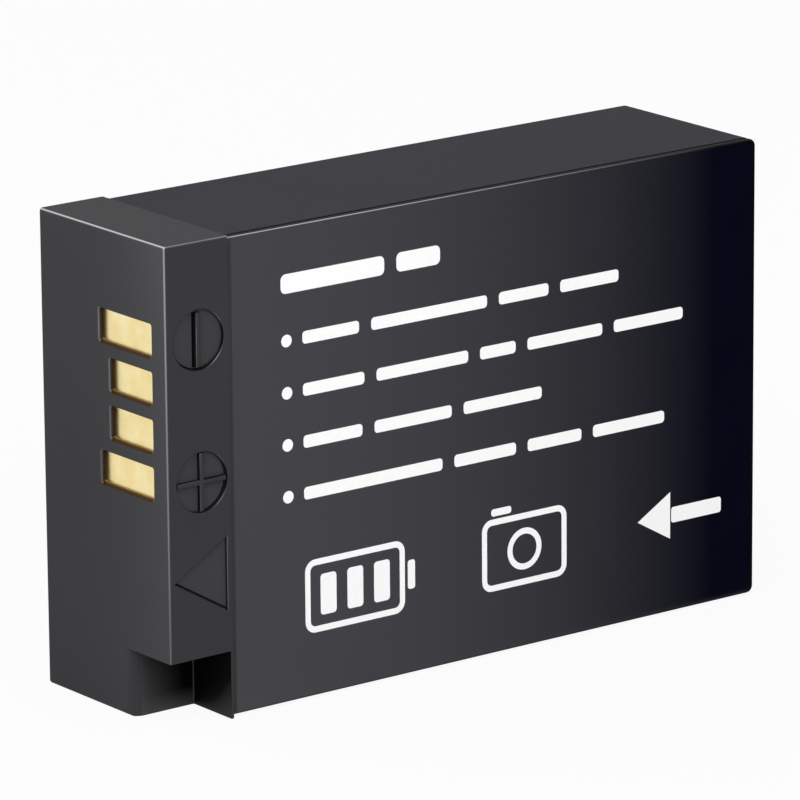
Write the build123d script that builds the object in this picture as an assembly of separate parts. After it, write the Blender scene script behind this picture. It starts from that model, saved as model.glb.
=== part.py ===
"""Compact two-cell camera battery: a welded plastic case round two flat cells and a contact board.

The pack stands on its long narrow side. +X runs along its length, from the contact end to the far end,
-Y is the label side and +Z is up. The origin is the middle of the underside. Sizes are millimetres.
"""
import os

from build123d import *

# Overall size
pack_length = 49.4
pack_thickness = 14.0
pack_height = 32.4

# Contact end: a block that stands a little proud of the rest of the case
block_step = 0.17
block_step_radius = 0.1
end_wall = 1.0
edge_radius = 0.22

# Key notch in the lower front corner of the contact end
notch_length = 4.8
notch_depth = 4.2
notch_height = 4.6
notch_lip = 0.25
notch_inner_radius = 0.12
foot_radius = 0.8

# Case walls, and the tongue that welds the cover into the tray
case_wall = 0.9
corner_radius = 0.5
inner_corner_radius = 0.12
cover_thickness = 0.9
cover_edge = 0.38
cover_edge_radius = 0.15
cover_gap = 0.04
groove_width = 0.3
tongue_thickness = 0.42
tongue_depth = 0.6
tongue_clearance = 0.05
hook_reach = 1.0
hook_root = 0.8
hook_thickness = 0.6
hook_clearance = 0.08

# Label film, set in a recess of its own thickness
label_thickness = 0.08
label_inset = 0.16
label_step_inset = 0.3
label_end_inset = 0.3
label_corner_radius = 0.3

# Contact windows, one above the other on the end face
window_height = 2.2
window_pitch = 3.18
window_front_margin = 1.57
wide_window = 5.82
narrow_window = 4.72
top_window_drop = 6.5
window_corner_radius = 0.18
window_edge = 0.08
window_sill_radius = 0.26

# Contacts: folded plates in pockets behind the windows, whose legs pass through the board
contact_recess = 0.38
contact_sheet = 0.2
contact_bend_radius = 0.05
contact_side_lap = 0.3
contact_edge_lap = 0.25
contact_clearance = 0.08
leg_width = 1.6
leg_tail = 0.25
slot_clearance = 0.05

# Circuit board, and the ledges of the contact end that it sits against
board_standoff = 1.2
board_thickness = 0.8
board_clearance = 0.2
seat_overlap = 0.8
seat_rib = 1.6

# Chips on the back of the board: body width (Y), length (Z) and rise (X)
chip_standoff = 0.1
chip_edge = 0.12
chip_gap = 0.9
lead_sheet = 0.15
lead_width = 0.3
lead_reach = 0.6
lead_foot = 0.35
lead_pitch = 0.95
transistor_size = (3.0, 4.0, 1.0)
protection_size = (1.6, 2.9, 1.1)
data_size = (1.6, 2.0, 0.9)
sensor_size = (1.6, 0.8, 0.5)
resistor_size = (1.6, 0.8, 0.45)
capacitor_size = (1.6, 0.8, 0.8)

# Cells: two flat cans lying face to face, lids towards the contact end
lid_clearance = 1.0
cell_side_clearance = 0.15
cell_corner_radius = 1.6
cell_base_radius = 0.5
seam_inset = 0.4
seam_width = 0.2
seam_depth = 0.1
plug_radius = 0.7
plug_depth = 0.1
plug_drop = 9.0

# Cell terminal, insulated from the lid by a gasket
terminal_length = 4.4
terminal_width = 2.2
terminal_corner_radius = 0.6
terminal_head = 0.6
stem_radius = 0.7
stem_depth = 0.4
gasket_margin = 0.45
gasket_flange = 0.4
gasket_collar = 0.3
press_clearance = 0.02

# Tapes, pads and the sheet over the lids
rear_tape = 0.15
cell_tape = 0.2
cover_pad = 0.3
end_pad = 0.8
tape_margin = 4.0
insulator_thickness = 0.2
insulator_margin = 0.5
insulator_clearance = 0.3

# Nickel strips between the cells and the board, and the thermal cut-off
strip_sheet = 0.15
strip_width = 3.0
weld_foot = 2.2
solder_foot = 1.8
strip_lap = 1.3
link_rise = 4.2
tap_margin = 1.8
positive_margin = 1.6
negative_drop = 0.4
cutoff_width = 3.8
cutoff_length = 4.4
cutoff_gap = 0.5
cutoff_radius = 0.4

# Two edges are at the same place when they lie closer than this
SAME_PLACE = 1e-4

# Faces of the case
x_end = -pack_length / 2
x_far = pack_length / 2
y_front = -pack_thickness / 2
y_back = pack_thickness / 2
z_mid = pack_height / 2
notch_x = x_end + notch_length
notch_y = y_front + notch_depth
x_step = notch_x + notch_lip
body_front = y_front + block_step
body_back = y_back - block_step
body_bottom = block_step
body_top = pack_height - block_step

# Faces of the space inside, and of the wall between it and the key notch
x_inner = x_end + end_wall
x_inner_far = x_far - case_wall
inner_front = body_front + cover_thickness
inner_back = body_back - case_wall
inner_bottom = body_bottom + case_wall
inner_top = body_top - case_wall
notch_wall_x = notch_x + case_wall
notch_wall_y = notch_y + case_wall
notch_wall_z = notch_height + case_wall

# Joint between the cover and the tray
cover_left = x_step + cover_gap
plate_back = body_front + cover_edge
rim = plate_back + groove_width
tongue_end = rim + tongue_depth
tongue_margin = case_wall - tongue_thickness
rebate_margin = tongue_margin - tongue_clearance

# Board, between the notch's roof and the top wall
board_front = x_inner + board_standoff
board_back = board_front + board_thickness
board_bottom = notch_wall_z + board_clearance
board_top = inner_top - board_clearance
board_near = inner_front + board_clearance
board_far = inner_back - board_clearance

# Cells
lid_x = notch_wall_x + lid_clearance
cell_end = x_inner_far - end_pad
cell_thickness = (inner_back - inner_front - rear_tape - cell_tape - cover_pad) / 2
cell_width = inner_top - inner_bottom - 2 * cell_side_clearance
front_cell_y = inner_front + cover_pad + cell_thickness / 2
rear_cell_y = inner_back - rear_tape - cell_thickness / 2
terminal_face = lid_x - gasket_flange - terminal_head
collar_depth = stem_depth + gasket_collar

# Contacts
contact_face = x_end + contact_recess
contact_half_height = window_height / 2 + contact_edge_lap

# Strips and the cut-off
link_bottom = z_mid + link_rise
link_step_y = rear_cell_y - weld_foot / 2
tap_z = board_top - tap_margin
positive_z = board_bottom + positive_margin
cutoff_top = z_mid - terminal_length / 2 - cutoff_gap
cutoff_bottom = cutoff_top - cutoff_length
negative_z = cutoff_bottom - negative_drop

# Contacts, from the top window down: name and window width
CONTACTS = (
    ("contact_negative", wide_window),
    ("contact_signal_upper", narrow_window),
    ("contact_signal_lower", narrow_window),
    ("contact_positive", wide_window),
)


def span(low, high):
    """Box between two opposite corners."""
    size = [b - a for a, b in zip(low, high)]
    return Pos(*low) * Box(*size, align=Align.MIN)


def side_plane(y):
    """Plane along the pack: its own x is +X, its own y is +Z, and its normal is -Y."""
    return Plane(origin=(0, y, 0), x_dir=(1, 0, 0), z_dir=(0, -1, 0))


def end_plane(x):
    """Plane across the pack: its own x is +Y, its own y is +Z, and its normal is +X."""
    return Plane(origin=(x, 0, 0), x_dir=(0, 1, 0), z_dir=(1, 0, 0))


def slab(side_view, near, far):
    """Side view given thickness, from one place along Y to another."""
    return extrude(side_plane(far) * side_view, far - near)


def plate(end_view, near, far):
    """End view given thickness, from one place along X to another."""
    return extrude(end_plane(near) * end_view, far - near)


def bent_sheet(points, thickness, side, plane, width):
    """Bent sheet metal: the line of one face, thickened to one side, as wide as given across the plane."""
    profile = make_face(offset(Polyline(*points), thickness, kind=Kind.INTERSECTION, side=side))
    return extrude(plane * profile, width / 2, both=True)


def edges_at(shape, axis, **place):
    """Straight edges of a shape along an axis, with their middles at the coordinates given."""
    found = shape.edges().filter_by(axis)
    for name, value in place.items():
        found = found.filter_by(lambda edge: abs(getattr(edge.center(), name) - value) < SAME_PLACE)
    return found


def window_z(row):
    """Height of the middle of a contact window, counted from the top one."""
    return pack_height - top_window_drop - row * window_pitch


def window_y(width):
    """Middle, along Y, of a contact window of a given width."""
    return y_front + window_front_margin + width / 2


def body_outline(left, margin):
    """Side view of the case behind the contact end, drawn in by a margin: its far corners are round."""
    right = x_far - margin
    low = body_bottom + margin
    high = body_top - margin
    outline = Pos((left + right) / 2, (low + high) / 2) * Rectangle(right - left, high - low)
    far_corners = outline.vertices().group_by(Axis.X)[-1]
    return fillet(far_corners, max(corner_radius - margin, inner_corner_radius))


def contact_block():
    """Outside of the contact end, with its edges rounded, before the notch is cut."""
    view = Pos(0, z_mid) * Rectangle(pack_thickness, pack_height)
    block = plate(view, x_end, x_step)
    long_edges = block.edges().filter_by(Axis.X) - edges_at(block, Axis.X, Y=y_front, Z=0)
    end_edges = block.faces().sort_by(Axis.X)[0].edges()
    block = fillet(long_edges + end_edges, edge_radius)
    step_edges = block.faces().sort_by(Axis.X)[-1].edges()
    return fillet(step_edges, block_step_radius)


def key_notch():
    """Space of the key notch, drawn from above: it rounds the foot beside it and its own inner corner."""
    clear_x = x_end - notch_length
    clear_y = y_front - notch_depth
    inner_start = (notch_x, notch_y - notch_inner_radius)
    inner_end = (notch_x - notch_inner_radius, notch_y)
    foot_start = (x_end + foot_radius, notch_y)
    foot_end = (x_end, notch_y + foot_radius)
    outline = [
        Polyline((notch_x, clear_y), inner_start),
        RadiusArc(inner_start, inner_end, -notch_inner_radius),
        Line(inner_end, foot_start),
        RadiusArc(foot_start, foot_end, foot_radius),
        Polyline(foot_end, (clear_x, notch_y + foot_radius), (clear_x, clear_y), (notch_x, clear_y)),
    ]
    return extrude(Plane.XY * make_face(outline), notch_height, both=True)


def case_space():
    """Space inside the case: it leaves the wall round the notch and the two ledges for the board."""
    low = (x_inner, inner_front, inner_bottom)
    space = span(low, (x_inner_far, inner_back, inner_top))
    space -= span(low, (notch_wall_x, notch_wall_y, notch_wall_z))
    space -= span((x_inner, inner_front, board_top - seat_overlap), (board_front, inner_back, inner_top))
    shelf_top = board_bottom + seat_overlap
    space -= span((x_inner, inner_front, shelf_top - seat_rib), (board_front, inner_back, shelf_top))
    return space


def window_sill(row, width):
    """Space that rounds the lower edge of a contact window, between its corners."""
    low = window_z(row) - window_height / 2
    inner = (x_end + window_sill_radius, low)
    outer = (x_end, low - window_sill_radius)
    profile = make_face([RadiusArc(outer, inner, window_sill_radius), Polyline(inner, (x_end, low), outer)])
    half_width = width / 2 - window_corner_radius
    return extrude(side_plane(window_y(width)) * profile, half_width, both=True)


def contact_window(row, width):
    """Space of a contact window: its bevelled mouth, the opening and the wider pocket of the contact."""
    y, z = window_y(width), window_z(row)
    opening = Pos(y, z) * RectangleRounded(width, window_height, window_corner_radius)
    mouth = offset(opening, window_edge)
    side = 2 * (contact_side_lap + contact_clearance)
    edge = 2 * (contact_edge_lap + contact_clearance)
    window = extrude(end_plane(x_end) * mouth, window_edge, taper=45)
    window += plate(opening, x_end, contact_face)
    window += plate(Pos(y, z) * Rectangle(width + side, window_height + edge), contact_face, x_inner)
    return window


def rear_case():
    """Tray in one moulding with the contact end: rim rebate, notch, contact windows and board ledges."""
    tray = slab(body_outline(x_inner, 0), rim, body_back)
    tray = fillet(tray.faces().sort_by(Axis.Y)[-1].edges(), edge_radius)
    case = contact_block() + tray
    case -= case_space()
    case -= slab(body_outline(x_step, rebate_margin), rim, tongue_end)
    case -= key_notch()
    for row, (_, width) in enumerate(CONTACTS):
        case -= contact_window(row, width)
        case -= window_sill(row, width)
    return case


def label_film():
    """Film that covers the front of the cover, inside its rounded edge."""
    left = cover_left + label_step_inset
    right = x_far - label_end_inset
    height = body_top - body_bottom - 2 * label_inset
    view = Pos((left + right) / 2, z_mid) * Rectangle(right - left, height)
    view = fillet(view.vertices().group_by(Axis.X)[-1], label_corner_radius)
    return slab(view, body_front, body_front + label_thickness)


def front_cover():
    """Cover plate with its label recess, the tongue in the tray's rim and the hook at its left."""
    cover = slab(body_outline(cover_left, 0), body_front, plate_back)
    front_edges = cover.faces().sort_by(Axis.Y)[0].edges().sort_by(Axis.X)
    cover = fillet(front_edges[1:], cover_edge_radius)
    tongue = slab(body_outline(cover_left, tongue_margin), plate_back, tongue_end)
    tongue -= slab(body_outline(x_end, case_wall), inner_front, tongue_end)
    hook_bottom = notch_wall_z + hook_clearance
    hook_top = inner_top - hook_clearance
    hook_front = inner_front + hook_clearance
    hook_back = hook_front + hook_thickness
    hook_tip = (x_step - hook_reach, hook_front, hook_bottom)
    hook = span(hook_tip, (cover_left + hook_root, hook_back, hook_top))
    hook += span((cover_left, inner_front, hook_bottom), (cover_left + hook_root, hook_back, hook_top))
    return cover + tongue + hook - label_film()


def contact(row, width):
    """Contact: a plate behind its window, with two narrower legs folded back through the board."""
    y, z = window_y(width), window_z(row)
    tail = board_back + leg_tail
    top = z + contact_half_height
    bottom = z - contact_half_height
    outer_radius = contact_sheet + contact_bend_radius
    corners = [(tail, bottom), (contact_face, bottom), (contact_face, top), (tail, top)]
    path = FilletPolyline(*corners, radius=outer_radius)
    profile = make_face(offset(path, contact_sheet, side=Side.RIGHT))
    half_width = width / 2 + contact_side_lap
    folded = extrude(side_plane(y) * profile, half_width, both=True)
    bend_end = contact_face + outer_radius
    folded -= span((bend_end, y - half_width, bottom), (tail, y - leg_width / 2, top))
    folded -= span((bend_end, y + leg_width / 2, bottom), (tail, y + half_width, top))
    return folded


def circuit_board():
    """Board against the ledges of the contact end, slotted for the legs of the contacts."""
    board = span((board_front, board_near, board_bottom), (board_back, board_far, board_top))
    slot_half = leg_width / 2 + slot_clearance
    for row, (_, width) in enumerate(CONTACTS):
        y = window_y(width)
        leg_top = window_z(row) + contact_half_height
        leg_bottom = window_z(row) - contact_half_height
        for low in (leg_bottom, leg_top - contact_sheet):
            near = (board_front, y - slot_half, low - slot_clearance)
            board -= span(near, (board_back, y + slot_half, low + contact_sheet + slot_clearance))
    return board


def leaded_chip(y, z, size):
    """Chip with bent leads on its two long sides, standing on the back of the board."""
    width, length, rise = size
    low = board_back + chip_standoff
    top = board_back + rise
    view = Pos(y, z) * Rectangle(width, length)
    chip = plate(view, low, top)
    chip = chamfer(chip.faces().sort_by(Axis.X)[-1].edges(), chip_edge)
    half = width / 2
    level = (low + top) / 2
    leads = int(length / lead_pitch)
    for index in range(leads):
        lead_z = z + (index - (leads - 1) / 2) * lead_pitch
        across = Plane.XY.offset(lead_z)
        foot = half + lead_reach
        bend = foot - lead_foot
        right = [(board_back, y + foot), (board_back, y + bend), (level, y + bend), (level, y + half)]
        left = [(board_back, y - foot), (board_back, y - bend), (level, y - bend), (level, y - half)]
        chip += bent_sheet(right, lead_sheet, Side.LEFT, across, lead_width)
        chip += bent_sheet(left, lead_sheet, Side.RIGHT, across, lead_width)
    return chip


def bare_chip(y, z, size):
    """Two-ended chip, soldered flat on the back of the board."""
    width, length, rise = size
    return plate(Pos(y, z) * Rectangle(width, length), board_back, board_back + rise)


def board_chips():
    """Chips on the back of the board: a column above the rear cell's lead, and one between the contacts."""
    chips = {}
    z = negative_z + solder_foot + chip_gap
    for name, size in (
        ("switch_transistor", transistor_size),
        ("protection_chip", protection_size),
        ("data_chip", data_size),
    ):
        z += size[1] / 2
        chips[name] = leaded_chip(rear_cell_y, z, size)
        z += size[1] / 2 + chip_gap
    z += sensor_size[1] / 2
    chips["temperature_sensor"] = bare_chip(rear_cell_y, z, sensor_size)
    z += sensor_size[1] / 2 + chip_gap + capacitor_size[1] / 2
    pair = (z, z + capacitor_size[1] + chip_gap)
    capacitors = [bare_chip(rear_cell_y, place, capacitor_size) for place in pair]
    chips["chip_capacitors"] = Compound(children=capacitors)
    rows = range(1, len(CONTACTS))
    resistors = [bare_chip(front_cell_y, window_z(row), resistor_size) for row in rows]
    chips["chip_resistors"] = Compound(children=resistors)
    return chips


def terminal_view(y, margin):
    """End view of a cell's terminal head, drawn out by a margin."""
    width = terminal_width + 2 * margin
    length = terminal_length + 2 * margin
    return Pos(y, z_mid) * RectangleRounded(width, length, terminal_corner_radius + margin)


def cell_view(y, inset):
    """End view of a cell, drawn in by an inset."""
    width = cell_thickness - 2 * inset
    return Pos(y, z_mid) * RectangleRounded(width, cell_width - 2 * inset, cell_corner_radius - inset)


def stem_view(y, radius):
    """End view of a round stem at the middle of a lid."""
    return Pos(y, z_mid) * Circle(radius)


def cell_can(y):
    """Sealed can of one cell: drawn case, welded lid seam, filling plug and the pocket of its terminal."""
    can = plate(cell_view(y, 0), lid_x, cell_end)
    can = fillet(can.faces().sort_by(Axis.X)[-1].edges(), cell_base_radius)
    seam = cell_view(y, seam_inset) - cell_view(y, seam_inset + seam_width)
    can -= plate(seam, lid_x, lid_x + seam_depth)
    plug = Pos(y, z_mid - plug_drop) * Circle(plug_radius)
    can -= plate(plug, lid_x, lid_x + plug_depth)
    pocket = stem_view(y, stem_radius + gasket_collar)
    return can - plate(pocket, lid_x, lid_x + collar_depth)


def cell_gasket(y):
    """Gasket of a cell's terminal: a flange on the lid and a closed collar in the lid's pocket."""
    flange = plate(terminal_view(y, gasket_margin), lid_x - gasket_flange, lid_x)
    collar = plate(stem_view(y, stem_radius + gasket_collar - press_clearance), lid_x, lid_x + collar_depth)
    return flange + collar - plate(stem_view(y, stem_radius), lid_x - gasket_flange, lid_x + stem_depth)


def cell_terminal(y):
    """Terminal of a cell: a flat head on the gasket and a stem down its collar."""
    under_head = lid_x - gasket_flange
    head = plate(terminal_view(y, 0), terminal_face, under_head)
    return head + plate(stem_view(y, stem_radius - press_clearance), under_head, lid_x + stem_depth)


def lid_insulator():
    """Paper sheet over both lids, open round the terminals and where strips are welded to the lids."""
    near = front_cell_y - cell_thickness / 2 + insulator_margin
    far = rear_cell_y + cell_thickness / 2 - insulator_margin
    low = z_mid - cell_width / 2 + insulator_margin
    high = z_mid + cell_width / 2 - insulator_margin
    sheet = span((lid_x - insulator_thickness, near, low), (lid_x, far, high))
    for y in (front_cell_y, rear_cell_y):
        opening = terminal_view(y, gasket_margin + insulator_clearance)
        sheet -= plate(opening, lid_x - insulator_thickness, lid_x)
    room = insulator_clearance
    half = strip_width / 2 + room
    sheet -= span(
        (lid_x - insulator_thickness, front_cell_y - half, positive_z - room),
        (lid_x, front_cell_y + half, positive_z + weld_foot + room),
    )
    sheet -= span(
        (lid_x - insulator_thickness, link_step_y - room, link_bottom - room),
        (lid_x, link_step_y + weld_foot + room, link_bottom + strip_width + room),
    )
    return sheet


def series_link():
    """Link from the front cell's terminal to the rear cell's lid, with a tail that taps it to the board."""
    tail = [
        (terminal_face, z_mid - strip_lap),
        (terminal_face, tap_z),
        (board_back, tap_z),
        (board_back, tap_z - solder_foot),
    ]
    bridge = [
        (terminal_face, front_cell_y - strip_width / 2),
        (terminal_face, link_step_y),
        (lid_x, link_step_y),
        (lid_x, link_step_y + weld_foot),
    ]
    link = bent_sheet(tail, strip_sheet, Side.LEFT, side_plane(front_cell_y), strip_width)
    across = Plane.XY.offset(link_bottom + strip_width / 2)
    return link + bent_sheet(bridge, strip_sheet, Side.LEFT, across, strip_width)


def positive_strip():
    """Strip from the front cell's lid to the board."""
    line = [
        (lid_x, positive_z + weld_foot),
        (lid_x, positive_z),
        (board_back, positive_z),
        (board_back, positive_z + solder_foot),
    ]
    return bent_sheet(line, strip_sheet, Side.RIGHT, side_plane(front_cell_y), strip_width)


def negative_strip():
    """Flat strip from the rear cell's terminal to the thermal cut-off."""
    half = strip_width / 2
    return span(
        (terminal_face - strip_sheet, rear_cell_y - half, cutoff_top - strip_lap),
        (terminal_face, rear_cell_y + half, z_mid + strip_lap),
    )


def thermal_cutoff():
    """Flat thermal cut-off, lying on the sheet over the rear cell's lid, level with the terminal."""
    view = Pos(rear_cell_y, (cutoff_top + cutoff_bottom) / 2)
    view *= RectangleRounded(cutoff_width, cutoff_length, cutoff_radius)
    return plate(view, terminal_face, lid_x - insulator_thickness)


def negative_lead():
    """Lead from the thermal cut-off to the board."""
    line = [
        (terminal_face, cutoff_bottom + strip_lap),
        (terminal_face, negative_z),
        (board_back, negative_z),
        (board_back, negative_z + solder_foot),
    ]
    return bent_sheet(line, strip_sheet, Side.RIGHT, side_plane(rear_cell_y), strip_width)


def tape(near, far):
    """Sheet of tape or foam against the broad faces of the cells."""
    low = z_mid - cell_width / 2 + tape_margin
    high = z_mid + cell_width / 2 - tape_margin
    return span((lid_x + tape_margin, near, low), (cell_end - tape_margin, far, high))


def far_pad():
    """Foam pad between the cells and the far end of the case."""
    near = front_cell_y - cell_thickness / 2
    far = rear_cell_y + cell_thickness / 2
    low = z_mid - cell_width / 2 + tape_margin
    high = z_mid + cell_width / 2 - tape_margin
    return span((cell_end, near, low), (x_inner_far, far, high))


nodes = {
    "rear_case": rear_case(),
    "front_cover": front_cover(),
    "front_label": label_film(),
    "circuit_board": circuit_board(),
    "lid_insulator": lid_insulator(),
    "series_link": series_link(),
    "positive_strip": positive_strip(),
    "negative_strip": negative_strip(),
    "negative_lead": negative_lead(),
    "thermal_cutoff": thermal_cutoff(),
    "rear_tape": tape(inner_back - rear_tape, inner_back),
    "cell_tape": tape(front_cell_y + cell_thickness / 2, rear_cell_y - cell_thickness / 2),
    "cover_pad": tape(inner_front, inner_front + cover_pad),
    "end_pad": far_pad(),
}
for row, (name, width) in enumerate(CONTACTS):
    nodes[name] = contact(row, width)
nodes.update(board_chips())
for name, y in (("cell_front", front_cell_y), ("cell_rear", rear_cell_y)):
    nodes[name + "_can"] = cell_can(y)
    nodes[name + "_gasket"] = cell_gasket(y)
    nodes[name + "_terminal"] = cell_terminal(y)

os.makedirs("parts", exist_ok=True)
for name, shape in nodes.items():
    export_step(shape, "parts/" + name + ".step")
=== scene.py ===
"""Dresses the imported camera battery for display.

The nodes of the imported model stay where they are. The moulded case is replaced by a copy with the marks of
its contact end engraved, and the cover, the label and the contacts by copies with smooth edges. The label gets
plain printed shapes, and every node gets a finish. Lengths are metres, written as millimetres times MM.
"""
import logging
import math
from contextlib import contextmanager
from dataclasses import dataclass
from enum import Enum
from typing import Callable, Iterator, Optional, Union

import bpy
from mathutils import Matrix, Vector


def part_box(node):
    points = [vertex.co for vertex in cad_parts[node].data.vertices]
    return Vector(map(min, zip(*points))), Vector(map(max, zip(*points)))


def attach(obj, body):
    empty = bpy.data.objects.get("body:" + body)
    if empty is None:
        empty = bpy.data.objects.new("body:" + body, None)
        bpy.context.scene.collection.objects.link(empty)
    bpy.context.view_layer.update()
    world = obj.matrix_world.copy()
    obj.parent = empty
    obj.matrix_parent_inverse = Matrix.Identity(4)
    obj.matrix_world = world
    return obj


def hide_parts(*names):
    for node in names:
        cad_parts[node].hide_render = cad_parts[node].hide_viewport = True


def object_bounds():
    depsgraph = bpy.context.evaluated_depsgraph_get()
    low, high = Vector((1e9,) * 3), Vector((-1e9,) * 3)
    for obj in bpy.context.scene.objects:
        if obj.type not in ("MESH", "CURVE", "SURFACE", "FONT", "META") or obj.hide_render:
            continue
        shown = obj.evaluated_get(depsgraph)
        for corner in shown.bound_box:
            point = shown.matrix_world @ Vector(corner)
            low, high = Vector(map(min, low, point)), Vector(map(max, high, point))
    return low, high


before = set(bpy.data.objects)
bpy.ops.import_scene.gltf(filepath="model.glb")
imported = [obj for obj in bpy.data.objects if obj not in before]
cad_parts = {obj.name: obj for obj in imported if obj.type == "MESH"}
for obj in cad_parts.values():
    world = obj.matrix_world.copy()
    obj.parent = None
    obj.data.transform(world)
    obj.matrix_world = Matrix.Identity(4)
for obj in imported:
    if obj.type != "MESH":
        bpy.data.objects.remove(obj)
CAD_LOW, CAD_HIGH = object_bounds()

MM = 0.001
BODY = "root"
MERGE_DISTANCE = 0.001 * MM
FACING_FRONT = (math.pi / 2, 0.0, 0.0)
QUARTER_TURN = math.pi / 2
STRAIGHT = 0.9999
CORNER_STEPS = 6
LUMINOUS_WHITE = (1.0, 1.0, 1.0, 1.0)

log = logging.getLogger("camera_battery")

Pair = tuple[float, float]
Triple = tuple[float, float, float]
Colour = Triple


class Slot(Enum):
    """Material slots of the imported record."""

    CASE = "case_plastic"
    LABEL = "label_film"
    GOLD = "gold_plate"
    BOARD = "board_laminate"
    CHIP = "chip_moulding"
    CERAMIC = "chip_ceramic"
    CELL = "cell_aluminium"
    NICKEL = "nickel"
    GASKET = "gasket_plastic"
    PAPER = "insulating_paper"
    TAPE = "adhesive_tape"
    FOAM = "foam"


class Axis(Enum):
    """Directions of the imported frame, as the outputs of a Separate XYZ node are named."""

    LENGTH = "X"
    THICKNESS = "Y"
    HEIGHT = "Z"


# Shader maths


class Term:
    """A number on a socket, so that shader maths reads as Python."""

    def __init__(self, shader: "Shader", socket: bpy.types.NodeSocket) -> None:
        """Wraps one output socket of a shader's node."""
        self.shader = shader
        self.socket = socket

    def _math(self, operation: str, first: "Number", second: "Number") -> "Term":
        """Result of a new Math node that does one operation on two values."""
        made = self.shader.node("ShaderNodeMath", {"operation": operation}, {0: first, 1: second})
        return Term(self.shader, made.outputs[0])

    def __add__(self, other: "Number") -> "Term":
        """Sum."""
        return self._math("ADD", self, other)

    def __radd__(self, other: "Number") -> "Term":
        """Sum, with the number on the left."""
        return self._math("ADD", other, self)

    def __sub__(self, other: "Number") -> "Term":
        """Difference."""
        return self._math("SUBTRACT", self, other)

    def __rsub__(self, other: "Number") -> "Term":
        """Difference, with the number on the left."""
        return self._math("SUBTRACT", other, self)

    def __mul__(self, other: "Number") -> "Term":
        """Product."""
        return self._math("MULTIPLY", self, other)

    def __rmul__(self, other: "Number") -> "Term":
        """Product, with the number on the left."""
        return self._math("MULTIPLY", other, self)

    def __pow__(self, power: float) -> "Term":
        """Power."""
        return self._math("POWER", self, power)

    def __abs__(self) -> "Term":
        """Size without its sign."""
        return self._math("ABSOLUTE", self, 0.0)

    def greatest(self, other: "Number") -> "Term":
        """The greater of two values."""
        return self._math("MAXIMUM", self, other)

    def over(self, limit: "Number") -> "Term":
        """1 where the value is over a limit, and 0 elsewhere."""
        return self._math("GREATER_THAN", self, limit)

    def _range(self, style: str, low: float, high: float) -> "Term":
        """Adds a Map Range node that takes two values to 0 and 1."""
        sockets = {"Value": self, "From Min": low, "From Max": high}
        made = self.shader.node("ShaderNodeMapRange", {"interpolation_type": style}, sockets)
        return Term(self.shader, made.outputs["Result"])

    def ramp(self, low: float, high: float) -> "Term":
        """Smooth step from 0 at the low value to 1 at the high one."""
        return self._range("SMOOTHSTEP", low, high)

    def climb(self, low: float, high: float) -> "Term":
        """Straight climb from 0 at the low value to 1 at the high one."""
        return self._range("LINEAR", low, high)


Number = Union[float, Term]
Input = Union[float, tuple, Term, bpy.types.NodeSocket]
Sockets = dict[Union[str, int], Input]


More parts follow.
